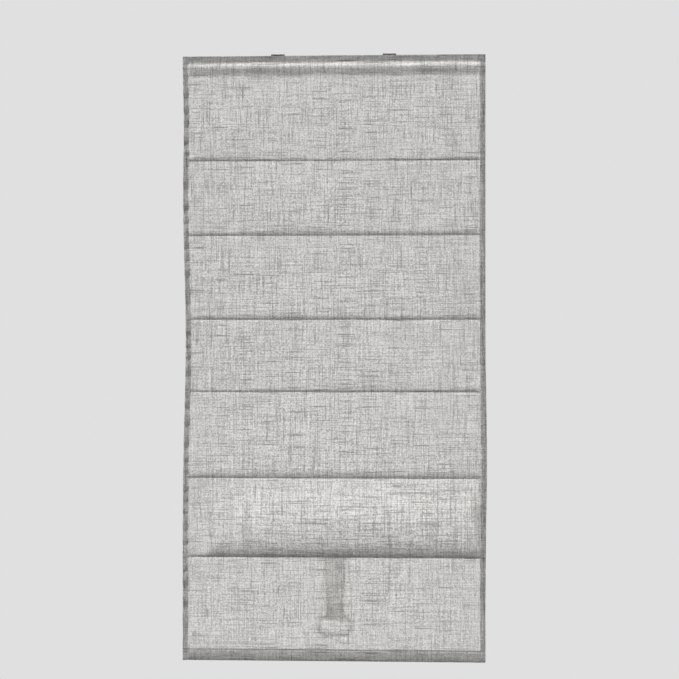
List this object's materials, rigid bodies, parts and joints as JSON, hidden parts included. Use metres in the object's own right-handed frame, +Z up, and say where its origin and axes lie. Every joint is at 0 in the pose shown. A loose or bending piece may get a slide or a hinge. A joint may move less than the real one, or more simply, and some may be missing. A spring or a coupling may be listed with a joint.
{
  "type": "roman blind",
  "caption": "Cordless roman blind: linen sheet with cross rods, head rail with spring motor, lift cords, and a strap with pull ring behind the hem",
  "frame": {"origin": "In the plane of the lintel, midway between the four bracket screw holes", "axes": "+Z up along the drop, +X to the right seen from the room, the room side towards -Y"},
  "size_m": [0.813, 0.0612, 1.6305],
  "materials": {
    "linen": "plain slub linen weave, pale grey",
    "webbing": "flat woven webbing",
    "cord": "braided polyester",
    "hook_tape": "woven tape with moulded hooks",
    "rail_paint": "white powder coat, satin",
    "bracket_steel": "dark zinc plate",
    "white_plastic": "moulded, fine texture",
    "cover_plastic": "moulded, fine texture",
    "gear_plastic": "natural acetal",
    "spring_steel": "rolled, blued",
    "pin_steel": "bright zinc plate",
    "rod_fibreglass": "pultruded, long fibres show",
    "ring_plastic": "moulded, slightly milky",
    "bar_aluminium": "extruded, mill finish",
    "pull_plastic": "moulded, pale and slightly see-through"
  },
  "bodies": {
    "head": {"head_rail": "rail_paint", "rail_end_cap_left": "white_plastic", "rail_end_cap_right": "white_plastic", "bracket_left": "bracket_steel", "bracket_right": "bracket_steel", "hook_tape": "hook_tape", "motor_tray": "white_plastic", "motor_cover": "cover_plastic", "motor_screws": "pin_steel", "power_spring": "spring_steel", "cord_guide_left": "white_plastic", "cord_guide_right": "white_plastic", "guide_pin_left": "pin_steel", "guide_pin_right": "pin_steel", "lift_cord_left": "cord", "lift_cord_right": "cord", "fabric_panel": "linen"},
    "lift": {"rod_6": "rod_fibreglass", "cord_rings_6": "ring_plastic", "cord_stops": "ring_plastic", "bottom_bar": "bar_aluminium", "pull_strap": "webbing"},
    "pull_ring": {"pull_ring": "pull_plastic"},
    "rod_1": {"rod_1": "rod_fibreglass", "cord_rings_1": "ring_plastic"},
    "rod_2": {"rod_2": "rod_fibreglass", "cord_rings_2": "ring_plastic"},
    "rod_3": {"rod_3": "rod_fibreglass", "cord_rings_3": "ring_plastic"},
    "rod_4": {"rod_4": "rod_fibreglass", "cord_rings_4": "ring_plastic"},
    "rod_5": {"rod_5": "rod_fibreglass", "cord_rings_5": "ring_plastic"},
    "cord_spool_left": {"cord_spool_left": "gear_plastic"},
    "output_drum": {"output_drum": "gear_plastic"},
    "storage_drum": {"storage_drum": "gear_plastic"},
    "cord_spool_right": {"cord_spool_right": "gear_plastic"}
  },
  "joints": [
    {"name": "lift", "type": "slide", "parent": "head", "child": "lift", "axis": [0, 0, 1], "range_m": [0, 1.22356], "deforming": ["fabric_panel", "lift_cord_left", "lift_cord_right"]},
    {"name": "ring_swing", "type": "hinge", "parent": "lift", "child": "pull_ring", "pos_m": [0.005, -0.00925, -1.52245], "axis": [1, 0, 0], "range_deg": [0, 95]},
    {"name": "rod_1_lift", "type": "slide", "parent": "head", "child": "rod_1", "axis": [0, 0, 1], "range_m": [0, 0.24374]},
    {"name": "rod_2_lift", "type": "slide", "parent": "head", "child": "rod_2", "axis": [0, 0, 1], "range_m": [0, 0.42849]},
    {"name": "rod_3_lift", "type": "slide", "parent": "head", "child": "rod_3", "axis": [0, 0, 1], "range_m": [0, 0.63642]},
    {"name": "rod_4_lift", "type": "slide", "parent": "head", "child": "rod_4", "axis": [0, 0, 1], "range_m": [0, 0.81518]},
    {"name": "rod_5_lift", "type": "slide", "parent": "head", "child": "rod_5", "axis": [0, 0, 1], "range_m": [0, 1.02835]},
    {"name": "cord_spool_left_turn", "type": "hinge", "parent": "head", "child": "cord_spool_left", "pos_m": [-0.045, 0, -0.0198], "axis": [0, 0, 1], "range_deg": [0, 6941.56]},
    {"name": "output_drum_turn", "type": "hinge", "parent": "head", "child": "output_drum", "pos_m": [-0.015, 0, -0.0198], "axis": [0, 0, 1], "range_deg": [-6941.56, 0]},
    {"name": "storage_drum_turn", "type": "hinge", "parent": "head", "child": "storage_drum", "pos_m": [0.015, 0, -0.0198], "axis": [0, 0, 1], "range_deg": [0, 6941.56]},
    {"name": "cord_spool_right_turn", "type": "hinge", "parent": "head", "child": "cord_spool_right", "pos_m": [0.045, 0, -0.0198], "axis": [0, 0, 1], "range_deg": [-6941.56, 0]}
  ],
  "couplings": [
    {"joint": "rod_1_lift", "follows": "lift", "ratio": 0.1992},
    {"joint": "rod_2_lift", "follows": "lift", "ratio": 0.35019},
    {"joint": "rod_3_lift", "follows": "lift", "ratio": 0.52013},
    {"joint": "rod_4_lift", "follows": "lift", "ratio": 0.66623},
    {"joint": "rod_5_lift", "follows": "lift", "ratio": 0.84045},
    {"joint": "cord_spool_left_turn", "follows": "lift", "rad_per_m": 99.01},
    {"joint": "output_drum_turn", "follows": "lift", "rad_per_m": -99.01},
    {"joint": "storage_drum_turn", "follows": "lift", "rad_per_m": 99.01},
    {"joint": "cord_spool_right_turn", "follows": "lift", "rad_per_m": -99.01}
  ]
}
